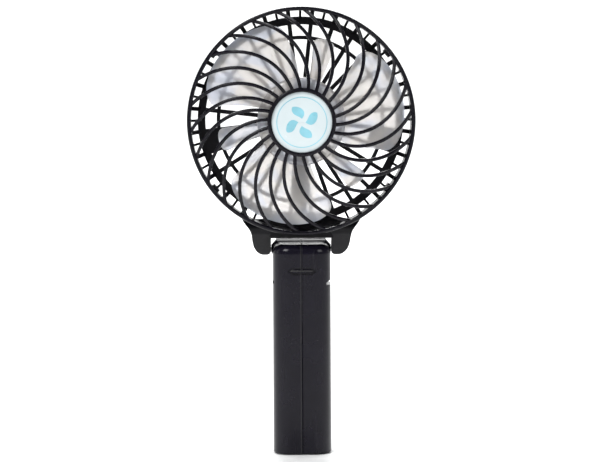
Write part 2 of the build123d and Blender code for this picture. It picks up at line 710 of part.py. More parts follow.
def shell_fittings():
    """Ribs, ledges and bosses moulded inside the two shells."""
    inner = HANDLE_W / 2 - WALL + 0.4
    front = -BACK + 1
    back = INNER_BACK + 0.4
    cradle = [block((-inner, front, z), (inner, 7.0, z + RIB_T)) for z in CRADLE_Z]
    shelf = block((-inner, front, SHELF_Z[0]), (inner, back, SHELF_Z[1]))
    rails = mirrored_pair(block((DOOR_HALF + 0.3, 7.8, FLOOR - 0.4), (11.4, 8.9, SHELF_Z[0])))
    board_ribs = []
    in_front = (BOARD_Y[0] - RIB_T, BOARD_Y[0] - FIT_PLAY)
    behind = (BOARD_Y[1] + FIT_PLAY, BOARD_Y[1] + RIB_T)
    for low, high in (in_front, behind):
        board_ribs.append(mirrored_pair(block((BOARD_HALF - 0.9, low, 72.6), (inner, high, BOARD_Z[1]))))
    backing = block((BOARD_HALF + 0.1, front, 77.2), (inner, back, 83.2))
    bosses = [cross_rod(BOSS_R, -inner, inner, y, z) for y, z in SCREW_PLACES]
    return Part() + cradle + [shelf, rails, backing] + board_ribs + bosses


def fitting_cuts():
    """Room for the cell, its lead, the contact tab, the screws and the pivots."""
    cell = rod(CELL_R + 0.25, FLOOR, SHELF_Z[0])
    lead_path = block((-10.8, -6.8, FLOOR), (-8.8, -4.6, 73.6))
    tab_slot = block((-2.4, 5.2, SHELF_Z[0] - 0.6), (2.4, 6.6, SHELF_Z[1] + 0.6))
    board = block((-BOARD_HALF - FIT_PLAY, BOARD_Y[0] - FIT_PLAY, BOARD_Z[0] - FIT_PLAY),
                  (BOARD_HALF + FIT_PLAY, BOARD_Y[1] + FIT_PLAY, BOARD_Z[1] + FIT_PLAY))
    pilots = [cross_rod(PILOT_R, -9.0, 13.0, y, z) for y, z in SCREW_PLACES]
    return Part() + [cell, lead_path, tab_slot, board] + pilots


def outside_cuts():
    """Openings in the shells: port, button, lamp, screw heads, pivots and the seam line."""
    half, tall = PORT_MOUTH[0] / 2, PORT_MOUTH[1] / 2
    port = block((-half, 5, PORT_Z - tall), (half, 14, PORT_Z + tall))
    port = fillet(port.edges().filter_by(Axis.Y), 1.0)
    button = back_rod(BUTTON_R + 0.15, 8, 14, 0, BUTTON_Z)
    lamp = back_rod(1.0, 8, 15, 0, LAMP_Z)
    heads = [cross_rod(2.0, SCREW_HEAD_X, 15.0, y, z) + cross_rod(PILOT_R, 6.0, SCREW_HEAD_X, y, z)
             for y, z in SCREW_PLACES]
    pivots = cross_rod(PIN_R + PIN_PLAY, -15, 15, HINGE_Y, HINGE_Z)
    return Part() + [port, button, lamp, pivots, front_slot(), side_notches(), seam()] + heads


def seam():
    """Fine parting groove along the front and the back."""
    half = SEAM_W / 2
    front = block((-half, -BACK - PAST, -PAST), (half, -BACK + SEAM_DEPTH, HANDLE_H - 1.5))
    back = block((-half, BACK - SEAM_DEPTH, DOOR_TOP_Z), (half, BACK + PAST, 90))
    return front + back


def handle_shells():
    """Left and right shells, split down the middle of the handle."""
    outside = handle_outside()
    inside = handle_inside()
    fittings = (shell_fittings() & inside) - fitting_cuts()
    shell = outside - inside + fittings
    shell = shell - door_space(DOOR_GAP, -1.0) - outside_cuts()
    halves = []
    for side in SIDES:
        low, high = sorted((0, side * 40))
        half = shell & block((low, -40, -5), (high, 40, 120))
        halves.append(half.solids().sort_by(SortBy.VOLUME)[-1])
    return halves, outside, inside


def battery_door(outside, inside):
    """Sliding door in the back of the handle, with side rails and grip ridges."""
    panel, rails = door_space(0, DOOR_BASE_Z)
    door = ((outside - inside) & panel) + (outside & rails)
    ridges = []
    for i in range(GRIP_COUNT):
        z = GRIP_Z + GRIP_PITCH * i
        ridges.append(block((-GRIP_HALF, BACK - 0.2, z), (GRIP_HALF, BACK + 0.3, z + 0.7)))
    return door + ridges


def handle_screws():
    """Two screws that pull the shells together."""
    screws = []
    top = SCREW_HEAD_X + SCREW_HEAD_T
    for y, z in SCREW_PLACES:
        screw = cross_rod(SCREW_HEAD_R, SCREW_HEAD_X, top, y, z)
        screw += cross_rod(PILOT_R, -8.0, SCREW_HEAD_X, y, z)
        slot = block((top - 0.4, y - 1.2, z - 0.2), (top + 1, y + 1.2, z + 0.2))
        cross = block((top - 0.4, y - 0.2, z - 1.2), (top + 1, y + 0.2, z + 1.2))
        screws.append(screw - slot - cross)
    return Part() + screws


# ---- power parts ----
def battery_cell():
    """Round lithium cell with a raised positive cap."""
    cap_rise = 0.6
    body = rod(CELL_R, CELL_BASE_Z, CELL_TOP_Z - cap_rise)
    body = fillet(body.edges(), cap_rise)
    return body + rod(3.2, CELL_TOP_Z - 1.0, CELL_TOP_Z)


def battery_spring():
    """Coil contact below the cell."""
    wire = SPRING_WIRE_R
    path = Helix(1.0, CELL_BASE_Z - FLOOR - PLATE_LIFT - 2 * wire - FIT_PLAY, 3.6)
    coil = sweep(Plane(origin=path @ 0, z_dir=path % 0) * Circle(wire), path=path)
    return Pos(0, 0, FLOOR + PLATE_LIFT + wire) * coil


def contact_plates():
    """Negative plate on the floor and positive plate with a tab up to the board."""
    half = 4.6
    top = FLOOR + PLATE_T
    lower = block((-half, -half, FLOOR), (half, half, top)) + block((-9.0, -half, FLOOR), (-half, -2.6, top))
    low = CELL_TOP_Z + FIT_PLAY
    tab_y = BOARD_Y[0] - FIT_PLAY
    upper = block((-4.0, -5.0, low), (4.0, tab_y, low + PLATE_T))
    tab = block((-1.8, tab_y - PLATE_T, low), (1.8, tab_y, 75.0))
    return lower, upper + tab


def battery_lead():
    """Negative lead from the floor plate up the corner to the board."""
    points = [(-8.2, -3.6, 2.85), (-9.9, -5.7, 6.6), (-10.0, -5.8, 30.0), (-9.9, -5.7, 55.0),
              (-9.8, -5.7, 78.6), (-7.4, 0.6, 80.4), (-6.9, 5.3, 79.8)]
    return round_cable(points, [5.0, 30.0, 30.0, 2.6, 3.0], LEAD_R)


def circuit_board():
    board = block((-BOARD_HALF, BOARD_Y[0], BOARD_Z[0]), (BOARD_HALF, BOARD_Y[1], BOARD_Z[1]))
    return fillet(board.edges().filter_by(Axis.Y), 0.8)


def board_chips():
    """Charge controller, driver and small parts on the front of the board."""
    front = BOARD_Y[0]
    small = (2.0, 1.2, 0.9)
    places = (((-5.2, 83.4), (4.9, 3.9, 1.4)), ((-5.8, 87.4), (3.0, 2.8, 1.0)), ((3.6, 77.4), small),
              ((6.4, 77.4), small), ((6.4, 80.2), small))
    chips = []
    for (x, z), (width, height, thick) in places:
        low = (x - width / 2, front - thick, z - height / 2)
        chips.append(block(low, (x + width / 2, front, z + height / 2)))
    return Part() + chips


def inductor():
    """Shielded power inductor."""
    body = block((-1.6, BOARD_Y[0] - 3.0, 80.6), (4.4, BOARD_Y[0], 86.6))
    return fillet(body.edges().filter_by(Axis.Y), 1.2)


def port_socket():
    """Charging socket: a folded metal shell with a contact tongue."""
    half, tall = PORT_SHELL[0] / 2, PORT_SHELL[1] / 2
    root = BOARD_Y[1] + 0.6
    shell = block((-half, BOARD_Y[1], PORT_Z - tall), (half, BACK - 0.2, PORT_Z + tall))
    shell = fillet(shell.edges().filter_by(Axis.Y), 0.7)
    mouth_half, mouth_tall = half - PORT_WALL, tall - PORT_WALL
    mouth = block((-mouth_half, root, PORT_Z - mouth_tall), (mouth_half, 14, PORT_Z + mouth_tall))
    tongue = block((-2.1, root, PORT_Z - 0.1), (2.1, BACK - 1.0, PORT_Z + 0.5))
    return shell - mouth, tongue


def push_switch():
    """Tactile switch on the back of the board."""
    half = SWITCH_HALF
    front = BOARD_Y[1]
    body = block((-half, front, BUTTON_Z - half), (half, front + SWITCH_T, BUTTON_Z + half))
    return body + back_rod(1.6, front + SWITCH_T - 0.1, 9.6, 0, BUTTON_Z)


def power_button():
    """Button cap with a raised rim and a retaining flange."""
    cap = back_rod(BUTTON_R, 9.95, 12.5, 0, BUTTON_Z)
    cap = fillet(cap.edges().group_by(Axis.Y)[-1], 0.5)
    dish = Pos(0, 22.1, BUTTON_Z) * Sphere(10.0)
    flange = back_rod(4.8, 9.4, 10.05, 0, BUTTON_Z) - back_rod(3.0, 9, 9.96, 0, BUTTON_Z)
    return cap + flange - dish


def status_lamp():
    """Small indicator lamp on the board."""
    return block((-0.8, BOARD_Y[1], LAMP_Z - 0.5), (0.8, BOARD_Y[1] + 0.7, LAMP_Z + 0.5))


def lamp_window():
    """Clear light guide through the back wall."""
    stem = back_rod(0.98, BOARD_Y[1] + 0.75, BACK + 0.05, 0, LAMP_Z)
    return stem + back_rod(1.3, 9.3, INNER_BACK - 0.02, 0, LAMP_Z)


def build():
    """Every piece by name."""
    (left, right), outside, inside = handle_shells()
    lower_plate, upper_plate = contact_plates()
    socket_shell, socket_tongue = port_socket()
    return {
        "front_grille": front_grille(),
        "badge": badge(),
        "rear_housing": rear_housing(),
        "wire_cover": wire_cover(),
        "motor_cover": motor_cover(),
        "motor_can": motor_can(),
        "motor_bush_front": motor_bush(7.2, 10.6),
        "motor_bush_rear": motor_bush(-3.6, -2.05),
        "motor_magnets": motor_magnets(),
        "motor_end_cap": motor_end_cap(),
        "motor_brushes": motor_brushes(),
        "motor_terminals": motor_terminals(),
        "motor_screws": motor_screws(),
        "motor_leads": motor_leads(),
        "head_cable": head_cable(),
        "hinge_pin": hinge_pin(),
        "hinge_sleeve": hinge_sleeve(),
        "hinge_clips": hinge_clips(),
        "hinge_caps": hinge_caps(),
        "impeller": impeller(),
        "motor_shaft": motor_shaft(),
        "rotor_core": rotor_core(),
        "rotor_windings": rotor_windings(),
        "commutator": commutator(),
        "handle_shell_left": left,
        "handle_shell_right": right,
        "handle_screws": handle_screws(),
        "handle_cable": handle_cable(),
        "battery_cell": battery_cell(),
        "battery_spring": battery_spring(),
        "contact_plate_lower": lower_plate,
        "contact_plate_upper": upper_plate,
        "battery_lead": battery_lead(),
        "circuit_board": circuit_board(),
        "board_chips": board_chips(),
        "inductor": inductor(),
        "port_shell": socket_shell,
        "port_tongue": socket_tongue,
        "push_switch": push_switch(),
        "status_lamp": status_lamp(),
        "lamp_window": lamp_window(),
        "battery_door": battery_door(outside, inside),
        "power_button": power_button(),
    }


os.makedirs("parts", exist_ok=True)
for name, piece in build().items():
    export_step(piece, f"parts/{name}.step")
    print(name, len(piece.solids()), round(piece.volume, 1))
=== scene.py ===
"""Looks of a small folding hand fan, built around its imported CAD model."""
import json
from math import cos, pi, radians, sin, tau

import bpy
import bmesh
from mathutils import Matrix, Vector


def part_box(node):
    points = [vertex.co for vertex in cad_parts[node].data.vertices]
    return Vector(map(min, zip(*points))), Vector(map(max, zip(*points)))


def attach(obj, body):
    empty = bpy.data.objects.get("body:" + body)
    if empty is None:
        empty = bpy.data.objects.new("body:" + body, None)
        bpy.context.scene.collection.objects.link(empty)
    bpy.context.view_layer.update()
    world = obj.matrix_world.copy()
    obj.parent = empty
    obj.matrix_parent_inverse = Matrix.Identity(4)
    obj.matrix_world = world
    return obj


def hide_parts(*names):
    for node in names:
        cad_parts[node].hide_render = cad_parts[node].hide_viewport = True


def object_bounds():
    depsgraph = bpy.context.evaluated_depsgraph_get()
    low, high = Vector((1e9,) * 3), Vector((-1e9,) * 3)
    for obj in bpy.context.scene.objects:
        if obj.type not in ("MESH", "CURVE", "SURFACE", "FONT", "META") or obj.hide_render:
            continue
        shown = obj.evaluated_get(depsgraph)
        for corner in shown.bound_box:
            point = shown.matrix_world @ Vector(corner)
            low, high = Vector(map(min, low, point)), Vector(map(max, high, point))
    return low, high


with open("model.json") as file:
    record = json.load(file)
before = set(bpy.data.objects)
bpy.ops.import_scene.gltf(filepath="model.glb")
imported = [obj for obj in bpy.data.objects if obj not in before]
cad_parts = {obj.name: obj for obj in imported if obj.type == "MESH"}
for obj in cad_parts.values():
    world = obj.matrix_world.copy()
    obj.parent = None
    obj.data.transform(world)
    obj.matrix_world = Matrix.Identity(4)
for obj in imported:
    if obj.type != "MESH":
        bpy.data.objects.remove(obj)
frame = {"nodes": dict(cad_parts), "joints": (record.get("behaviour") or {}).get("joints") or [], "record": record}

CAD_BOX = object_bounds()
NODES = frame["nodes"]
MM = 0.001

# ---- sizes taken from the frame: metres for HEAD_Z, millimetres for the rest ----
# A point on the head at radius r, angle a and w forwards is at (r cos a, -w, HEAD_Z + r sin a).
HEAD_Z = next(joint["pos_m"][2] for joint in frame["joints"] if joint["name"] == "impeller_spin")
GRILLE_LOW, GRILLE_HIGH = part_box("front_grille")
BADGE_LOW, BADGE_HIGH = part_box("badge")
RIM_R = (GRILLE_HIGH.x - GRILLE_LOW.x) / 2 / MM
BADGE_R = (BADGE_HIGH.x - BADGE_LOW.x) / 2 / MM
BADGE_FRONT_W = -BADGE_LOW.y / MM
HUB_FRONT_W = -GRILLE_LOW.y / MM

# ---- grille, in millimetres and degrees ----
RIM_IN_R = RIM_R - 1.9
RIM_BACK_W = 6.0
RIM_FRONT_W = 13.6
RIM_STEP = 0.1
RIM_STEP_LOW_W = 0.35
RIM_STEP_HIGH_W = 0.5
RIM_EDGE_OUT = 1.0
RIM_EDGE_IN = 0.85
RIM_SEGMENTS = 256
HUB_R = BADGE_R + 1.95
HUB_BACK_W = 18.0
HUB_BACK_EDGE = 0.3
HUB_FRONT_EDGE = 0.9
HUB_LIP_EDGE = 0.5
HUB_HOLE_R = 0.4
HUB_SEGMENTS = 128
SEAT_W = 20.0
SEAT_PLAY = 0.1
RIB_COUNT = 26
RIB_W = 1.6
RIB_DEPTH = 3.0
RIB_NOSE = 0.75
RIB_NOSE_STEPS = 8
RIB_BACK_BEVEL = (0.2, 0.3)
RIB_INTO_HUB = 0.9
RIB_SHORT_OF_RIM = 1.2
RIB_STEPS = 44
LOOK_AHEAD = 0.1
SPIRAL_START = 5.0
SPIRAL_SWEEP = 41.0
SPIRAL_POWER = 1.95
DOME = [(13.8, 21.5), (25.0, 21.0), (35.0, 20.1), (42.5, 18.7), (45.5, 17.4), (48.4, 15.2), (51.4, 12.4)]
CLIP_ANGLES = (38, 142, 218, 322)
CLIP_R = (49.3, 50.7)
CLIP_HALF = 2.0
CLIP_W = (2.2, 9.0)

# ---- emblem, in millimetres and radians ----
BADGE_CROWN_R = 135.0
EMBLEM_PROUD = 0.06
EMBLEM_SUNK = -0.15
LEAF_COUNT = 4
LEAF_ROOT_R = 1.6
LEAF_LENGTH = 6.6
LEAF_LEAN = 0.55
LEAF_HALF = 0.62
LEAF_FULLNESS = 0.7
LEAF_TAPER = 0.45
LEAF_STEPS = 24
RING_OUT_R = 11.6
RING_IN_R = 11.2
RING_STEPS = 96


# ---- mesh helpers ----
def head_point(radius, angle, forwards):
    """A point on the head from millimetres and an angle in radians."""
    return Vector((radius * cos(angle) * MM, -forwards * MM, HEAD_Z + radius * sin(angle) * MM))


def mesh_object(name, bm, smooth_angle):
    """Finish a bmesh as a smooth-shaded object with its sharp edges kept."""
    bmesh.ops.remove_doubles(bm, verts=bm.verts, dist=1e-7)
    bmesh.ops.recalc_face_normals(bm, faces=bm.faces)
    mesh = bpy.data.meshes.new(name)
    bm.to_mesh(mesh)
    bm.free()
    mesh.polygons.foreach_set("use_smooth", [True] * len(mesh.polygons))
    mesh.set_sharp_from_angle(angle=radians(smooth_angle))
    piece = bpy.data.objects.new(name, mesh)
    bpy.context.scene.collection.objects.link(piece)
    return piece


def join_loops(bm, first, second, closed=True):
    """Quads between two loops of vertices of the same length."""
    count = len(first)
    for i in range(count if closed else count - 1):
        j = (i + 1) % count
        bm.faces.new((first[i], first[j], second[j], second[i]))


def lathe(bm, profile, segments):
    """Turn a closed outline of (radius, forwards) points about the fan axis."""
    loops = []
    for k in range(segments):
        angle = tau * k / segments
        loops.append([bm.verts.new(head_point(r, angle, w)) for r, w in profile])
    for k in range(segments):
        join_loops(bm, loops[k], loops[(k + 1) % segments])


def rounded_outline(corners, steps=5):
    """A closed outline from (x, y, radius) corners, with each corner rounded."""
    outline = []
    count = len(corners)
    for i, (x, y, radius) in enumerate(corners):
        here = Vector((x, y))
        if radius == 0:
            outline.append((x, y))
            continue
        before = (Vector(corners[i - 1][:2]) - here).normalized()
        after = (Vector(corners[(i + 1) % count][:2]) - here).normalized()
        start = here + before * radius
        end = here + after * radius
        for k in range(steps + 1):
            t = k / steps
            point = start * (1 - t) ** 2 + here * 2 * t * (1 - t) + end * t ** 2
            outline.append((point.x, point.y))
    return outline


def through(points, value):
    """Height of a smooth curve through (x, height) points."""
    count = len(points)
    i = 0
    while i < count - 2 and value > points[i + 1][0]:
        i += 1
    (x0, y0), (x1, y1) = points[i], points[i + 1]
    before = points[max(i - 1, 0)]
    after = points[min(i + 2, count - 1)]
    slope0 = (y1 - before[1]) / (x1 - before[0])
    slope1 = (after[1] - y0) / (after[0] - x0)
    t = (value - x0) / (x1 - x0)
    span = x1 - x0
    return (y0 * (1 + 2 * t) * (1 - t) ** 2 + slope0 * span * t * (1 - t) ** 2
            + y1 * t * t * (3 - 2 * t) - slope1 * span * t * t * (1 - t))


# ---- spiral grille ----
def spiral_angle(radius):
    return radians(SPIRAL_START + SPIRAL_SWEEP * (radius / RIM_IN_R) ** SPIRAL_POWER)


def rib_section():
    """Cross-section of a rib as (across, below the front) points: round front, bevelled back."""
    half = RIB_W / 2
    bevel_in, bevel_up = RIB_BACK_BEVEL
    front = []
    for k in range(RIB_NOSE_STEPS + 1):
        angle = pi * k / RIB_NOSE_STEPS
        front.append((half * cos(angle), RIB_NOSE * (1 - sin(angle))))
    return front + [(-half, RIB_DEPTH - bevel_up), (-half + bevel_in, RIB_DEPTH),
                    (half - bevel_in, RIB_DEPTH), (half, RIB_DEPTH - bevel_up)]


def add_rib(bm, turn):
    """One curved rib from the hub to the rim."""
    first_r = HUB_R - RIB_INTO_HUB
    last_r = RIM_R - RIB_SHORT_OF_RIM
    section = rib_section()
    loops = []
    for k in range(RIB_STEPS + 1):
        radius = first_r + (last_r - first_r) * k / RIB_STEPS
        here = head_point(radius, spiral_angle(radius) + turn, 0)
        ahead = head_point(radius + LOOK_AHEAD, spiral_angle(radius + LOOK_AHEAD) + turn, 0)
        heading = (ahead - here).normalized()
        across = heading.cross(Vector((0, 1, 0)))
        front = through(DOME, radius)
        loops.append([bm.verts.new(here + across * (a * MM) + Vector((0, -(front - d) * MM, 0)))
                      for a, d in section])
    for one, two in zip(loops, loops[1:]):
        join_loops(bm, one, two)
    bm.faces.new(loops[0])
    bm.faces.new(reversed(loops[-1]))


def add_clip(bm, angle):
    """A snap clip behind the rim."""
    turn = Matrix.Rotation(angle, 3, "Z")
    inner, outer = CLIP_R
    corners = []
    for w in CLIP_W:
        for x, y in ((inner, -CLIP_HALF), (outer, -CLIP_HALF), (outer, CLIP_HALF), (inner, CLIP_HALF)):
            flat = turn @ Vector((x, y, 0))
            corners.append(bm.verts.new(Vector((flat.x * MM, -w * MM, HEAD_Z + flat.y * MM))))
    join_loops(bm, corners[:4], corners[4:])
    bm.faces.new(corners[:4])
    bm.faces.new(corners[4:])


def make_grille(material):
    """The front grille: rim, hub with the badge's seat, spiral ribs and clips."""
    bm = bmesh.new()
    step_r = RIM_R - RIM_STEP
    lathe(bm, rounded_outline([
        (RIM_IN_R, RIM_BACK_W, 0), (step_r, RIM_BACK_W, 0),
        (step_r, RIM_BACK_W + RIM_STEP_LOW_W, RIM_STEP), (RIM_R, RIM_BACK_W + RIM_STEP_HIGH_W, RIM_STEP),
        (RIM_R, RIM_FRONT_W, RIM_EDGE_OUT), (RIM_IN_R, RIM_FRONT_W, RIM_EDGE_IN)]), RIM_SEGMENTS)
    seat_r = BADGE_R + SEAT_PLAY
    lathe(bm, rounded_outline([
        (HUB_R, HUB_BACK_W, HUB_BACK_EDGE), (HUB_R, HUB_FRONT_W, HUB_FRONT_EDGE),
        (seat_r, HUB_FRONT_W, HUB_LIP_EDGE), (seat_r, SEAT_W, 0),
        (HUB_HOLE_R, SEAT_W, 0), (HUB_HOLE_R, HUB_BACK_W, 0)]), HUB_SEGMENTS)
    for i in range(RIB_COUNT):
        add_rib(bm, tau * i / RIB_COUNT)
    for angle in CLIP_ANGLES:
        add_clip(bm, radians(angle))
    grille = mesh_object("spiral_grille", bm, smooth_angle=40)
    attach(grille, "head")
    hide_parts("front_grille")
    grille.data.materials.append(material)


# ---- badge ----
def badge_front(radius):
    """Height of the crowned badge face at a radius."""
    return BADGE_FRONT_W - BADGE_CROWN_R + (BADGE_CROWN_R ** 2 - radius ** 2) ** 0.5


def add_inlay(bm, outer, inner):
    """A thin raised patch between two rows of (radius, angle) points on the badge."""
    low, high = [[[bm.verts.new(head_point(r, a, badge_front(r) + lift)) for r, a in line]
                  for line in (outer, inner)] for lift in (EMBLEM_SUNK, EMBLEM_PROUD)]
    join_loops(bm, high[0], high[1], closed=False)
    join_loops(bm, low[0], low[1], closed=False)
    join_loops(bm, low[0], high[0], closed=False)
    join_loops(bm, low[1], high[1], closed=False)


def make_emblem(material):
    """A plain pinwheel of leaves in a thin ring."""
    bm = bmesh.new()
    for leaf in range(LEAF_COUNT):
        turn = tau * leaf / LEAF_COUNT
        outer = []
        inner = []
        for k in range(LEAF_STEPS + 1):
            t = k / LEAF_STEPS
            radius = LEAF_ROOT_R + LEAF_LENGTH * t
            lean = turn + LEAF_LEAN * t
            half = LEAF_HALF * sin(pi * t) ** LEAF_FULLNESS * (1 - LEAF_TAPER * t)
            outer.append((radius, lean + half))
            inner.append((radius, lean - half))
        add_inlay(bm, outer, inner)
    ring = [tau * k / RING_STEPS for k in range(RING_STEPS + 1)]
    add_inlay(bm, [(RING_OUT_R, a) for a in ring], [(RING_IN_R, a) for a in ring])
    emblem = mesh_object("badge_emblem", bm, smooth_angle=30)
    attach(emblem, "head")
    emblem.data.materials.append(material)


# ---- materials ----
class Shader:
    """A node material built up round one Principled shader. Its methods pass output sockets on."""

    def __init__(self, name, **values):
        self.material = bpy.data.materials.new(name)
        self.material.use_nodes = True
        self.tree = self.material.node_tree
        self.tree.nodes.clear()
        output = self.node("ShaderNodeOutputMaterial")
        self.principled = self.node("ShaderNodeBsdfPrincipled")
        self.link(self.principled.outputs["BSDF"], output.inputs["Surface"])
        self.place = self.node("ShaderNodeTexCoord").outputs["Object"]
        for socket, value in values.items():
            self.principled.inputs[socket.replace("_", " ")].default_value = value

    def node(self, kind, **settings):
        made = self.tree.nodes.new(kind)
        for key, value in settings.items():
            setattr(made, key, value)
        return made

    def link(self, source, target):
        self.tree.links.new(source, target)

    def give(self, socket, source):
        """Feed one of the Principled shader's inputs."""
        self.link(source, self.principled.inputs[socket])

    def given(self, socket):
        """What feeds one of the Principled shader's inputs now."""
        return self.principled.inputs[socket].links[0].from_socket

    def noise(self, scale, detail, stretch=(1, 1, 1), distortion=0.0):
        """Noise in the piece's own coordinates: scale counts features to a metre."""
        mapping = self.node("ShaderNodeMapping")
        mapping.inputs["Scale"].default_value = stretch
        self.link(self.place, mapping.inputs["Vector"])
        noise = self.node("ShaderNodeTexNoise")
        noise.inputs["Scale"].default_value = scale
        noise.inputs["Detail"].default_value = detail
        noise.inputs["Distortion"].default_value = distortion
        self.link(mapping.outputs["Vector"], noise.inputs["Vector"])
        return noise.outputs["Fac"]

    def ramp(self, source, stops):
        """A colour ramp over stops of (position, colour)."""
        ramp = self.node("ShaderNodeValToRGB")
        elements = ramp.color_ramp.elements
        while len(elements) < len(stops):
            elements.new(0.5)
        for element, (position, colour) in zip(elements, stops):
            element.position = position
            element.color = (*colour, 1)
        self.link(source, ramp.inputs["Fac"])
        return ramp.outputs["Color"]

    def span(self, source, low, high, start, end, **settings):
        """A number from start..end mapped to low..high."""
        span = self.node("ShaderNodeMapRange", **settings)
        span.inputs["From Min"].default_value = start
        span.inputs["From Max"].default_value = end
        span.inputs["To Min"].default_value = low
        span.inputs["To Max"].default_value = high
        self.link(source, span.inputs["Value"])
        return span.outputs["Result"]

    def maths(self, operation, one, two):
        result = self.node("ShaderNodeMath", operation=operation)
        self.link(one, result.inputs[0])
        self.link(two, result.inputs[1])
        return result.outputs[0]

    def bump(self, source, strength, depth):
        bump = self.node("ShaderNodeBump")
        bump.inputs["Strength"].default_value = strength
        bump.inputs["Distance"].default_value = depth
        self.link(source, bump.inputs["Height"])
        self.give("Normal", bump.outputs["Normal"])

    def mix(self, factor, one, colour):
        """A colour socket mixed towards a plain colour."""
        mix = self.node("ShaderNodeMix", data_type="RGBA")
        self.link(factor, mix.inputs[0])
        self.link(one, mix.inputs[6])
        mix.inputs[7].default_value = (*colour, 1)
        return mix.outputs[2]

    def mix_number(self, factor, one, number):
        """A number socket mixed towards a plain number."""
        mix = self.node("ShaderNodeMix")
        self.link(factor, mix.inputs[0])
        self.link(one, mix.inputs[2])
        mix.inputs[3].default_value = number
        return mix.outputs[0]


def shades(colour, low, high):
    """A darker and a lighter version of a colour."""
    return [tuple(min(1.0, part * k) for part in colour) for k in (low, high)]


def moulded(name, colour, rough, spread, grain, relief, wear=0.12, wear_tone=(0.16, 0.16, 0.17), drift=0.2,
            **values):
    """Moulded plastic: slight tone drift, fine grain, worn spots and hairline scratches."""
    shader = Shader(name, **values)
    dark, light = shades(colour, 1 - drift, 1 + drift)
    tone = shader.ramp(shader.noise(70, 3), [(0.3, dark), (0.7, light)])
    scratches = shader.noise(520, 6, stretch=(1, 1, 0.07), distortion=0.6)
    marks = shader.span(scratches, 0, wear, 0.62, 0.8)
    shader.give("Base Color", shader.mix(marks, tone, wear_tone))
    shader.give("Roughness", shader.span(shader.noise(160, 5), rough - spread, rough + spread, 0.25, 0.75))
    shader.bump(shader.noise(grain, 2), relief, 0.00006)
    return shader


def metal(name, colour, rough, stretch=(1, 1, 1), relief=0.15):
    """Metal with drawn or machined lines and a little staining."""
    shader = Shader(name, Metallic=1.0)
    dark, light = shades(colour, 0.7, 1.1)
    shader.give("Base Color", shader.ramp(shader.noise(300, 4), [(0.3, dark), (0.68, light)]))
    lines = shader.noise(2600, 3, stretch=stretch)
    shader.give("Roughness", shader.span(lines, rough - 0.1, rough + 0.15, 0.3, 0.7))
    shader.bump(lines, relief, 0.00004)
    return shader


def frosted(name):
    """Milky plastic of the impeller: cream, with blotches of painted blue-grey shade and painted shade greying it
    towards the blade tips.
    """
    shader = Shader(name, Roughness=0.22, IOR=1.49, Transmission_Weight=0.6, Specular_IOR_Level=0.6)
    flat = shader.node("ShaderNodeMapping")
    flat.inputs["Scale"].default_value = (1, 0, 1)
    shader.link(shader.place, flat.inputs["Vector"])
    reach = shader.node("ShaderNodeVectorMath", operation="DISTANCE")
    shader.link(flat.outputs["Vector"], reach.inputs[0])
    reach.inputs[1].default_value = (0, 0, HEAD_Z)
    along = shader.span(reach.outputs["Value"], 0, 1, 0.018, 0.049)
    # Painted shade: the ramp turns blue-grey towards the blade tips, and the noise mixes in blotches of painted
    # blue-grey shade.
    tone = shader.ramp(along, [(0.0, (1.0, 0.965, 0.935)), (0.5, (1.0, 0.965, 0.93)),
                               (0.86, (1.0, 0.97, 0.95)), (1.0, (0.72, 0.78, 0.88))])
    painted_shade_blotches = shader.span(shader.noise(75, 2, distortion=0.8), 0, 0.75, 0.44, 0.64)
    shader.give("Base Color", shader.mix(painted_shade_blotches, tone, (0.78, 0.83, 0.95)))
    shader.bump(shader.noise(900, 2), 0.12, 0.00005)
    return shader


def clear(name, colour):
    """Clear acrylic with slight cloudiness."""
    shader = Shader(name, Roughness=0.12, IOR=1.49, Transmission_Weight=0.85)
    cloud = shader.noise(600, 3)
    dark, light = shades(colour, 0.85, 1.05)
    shader.give("Base Color", shader.ramp(cloud, [(0.3, dark), (0.7, light)]))
    shader.bump(cloud, 0.1, 0.00003)
    return shader


# Marks on the handle, in millimetres: where each starts, is full from and to, and ends. The groove's dullness is
# roughness; the lighter lines beside the groove and on the slot's tongue are painted highlights.
SEAM_DULL_X = (-0.3, -0.18, 0.18, 0.3)
SEAM_DULL_FADE_Z = (52, 66)
SEAM_DULL_TOP = 0.25
# Painted highlights: a lighter line beside the parting groove and one along the upper edge of the slot's tongue.
SEAM_HIGHLIGHT_X = (-1.02, -0.8, -0.5, -0.3)
TONGUE_HIGHLIGHT_X = (-5.6, -5.0, 5.0, 5.6)
TONGUE_HIGHLIGHT_Z = (85.55, 85.7, 85.95, 86.15)
TONGUE_HIGHLIGHT_FADE_Y = (-11.0, -10.0)
TONGUE_HIGHLIGHT_LEVEL = 2.6
# Colour of the painted highlights on the handle.
PAINTED_HIGHLIGHT_TONE = (0.017, 0.0165, 0.019)


